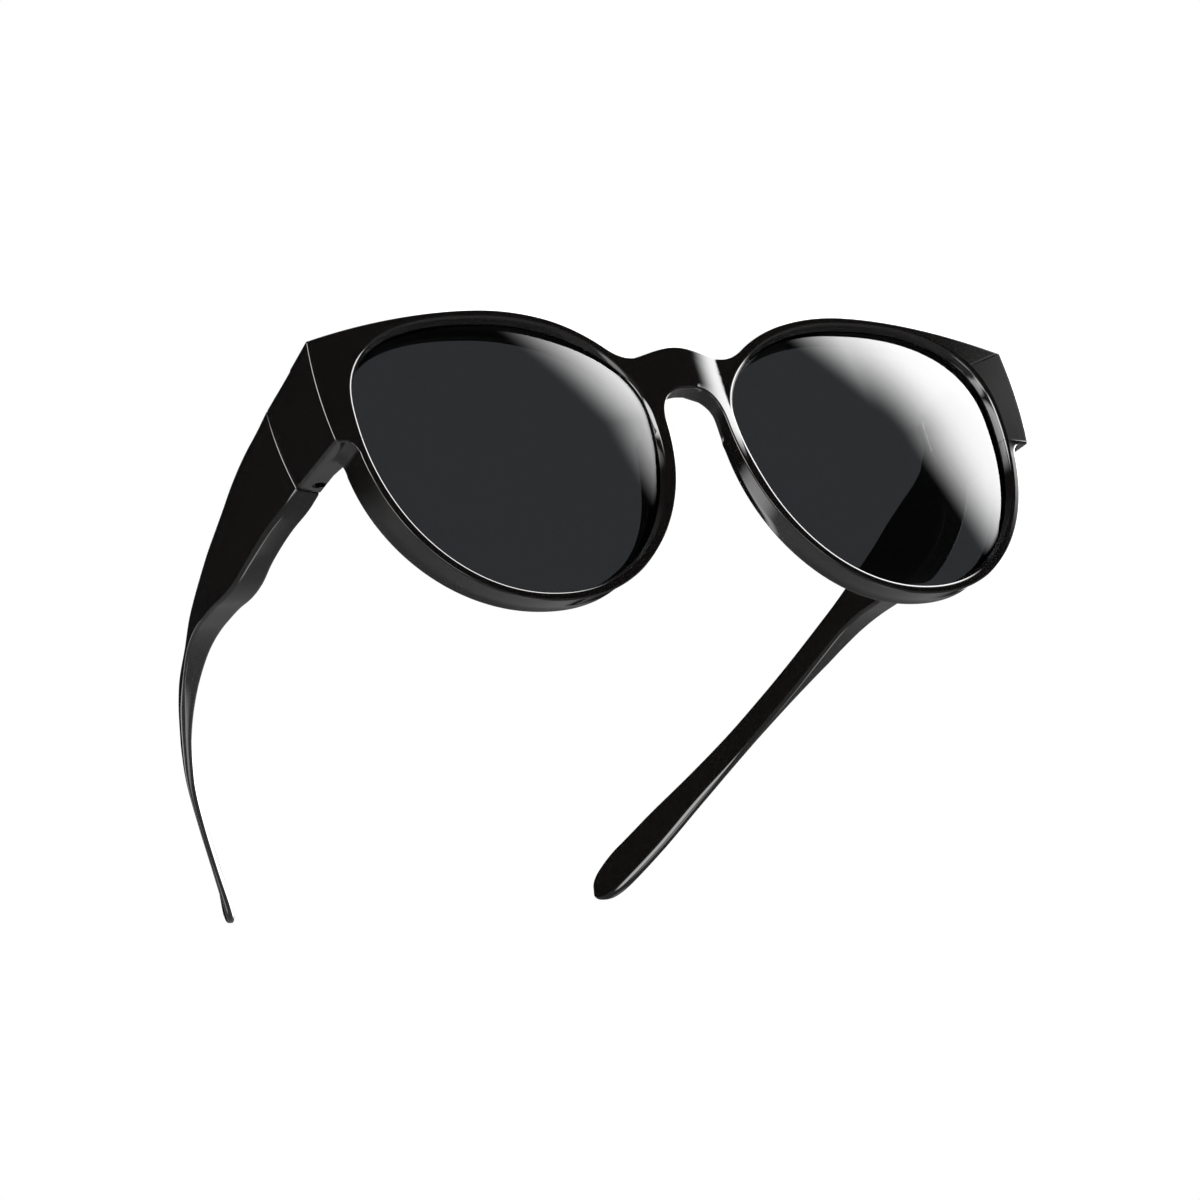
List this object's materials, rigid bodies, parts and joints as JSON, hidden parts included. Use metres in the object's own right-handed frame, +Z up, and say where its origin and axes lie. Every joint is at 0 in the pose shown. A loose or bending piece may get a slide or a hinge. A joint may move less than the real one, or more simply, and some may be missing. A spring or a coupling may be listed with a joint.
{
  "type": "fitover sunglasses",
  "caption": "Glossy black fitover sunglasses with deep round rims, dark grey wrapped lenses and folding temples on metal hinges.",
  "frame": {"origin": "centre of the box at the surface that the lower rims and the temple tips stand on", "axes": "+X to the viewer's right, which is the wearer's left; +Y from the front of the lenses back to the temple tips; +Z up"},
  "size_m": [0.1536, 0.1474, 0.0596],
  "materials": {
    "frame_plastic": "polished glossy black",
    "temple_plastic": "polished glossy black",
    "dark_lens": "dark grey polarised lens, polished",
    "hinge_metal": "plated, satin",
    "screw_steel": "turned steel"
  },
  "bodies": {
    "front": {"front_frame": "frame_plastic", "lens_left": "dark_lens", "lens_right": "dark_lens", "front_hinge_left": "hinge_metal", "front_hinge_right": "hinge_metal", "hinge_screw_left": "screw_steel", "hinge_screw_right": "screw_steel"},
    "temple_arm_left": {"temple_left": "temple_plastic", "temple_hinge_left": "hinge_metal"},
    "temple_arm_right": {"temple_right": "temple_plastic", "temple_hinge_right": "hinge_metal"}
  },
  "joints": [
    {"name": "fold_right", "type": "hinge", "parent": "front", "child": "temple_arm_right", "pos_m": [0.065, -0.05204, 0.04275], "axis": [0, 0.042, 0.9991], "range_deg": [0, 84]},
    {"name": "fold_left", "type": "hinge", "parent": "front", "child": "temple_arm_left", "pos_m": [-0.065, -0.05204, 0.04275], "axis": [0, -0.042, -0.9991], "range_deg": [0, 73]}
  ]
}
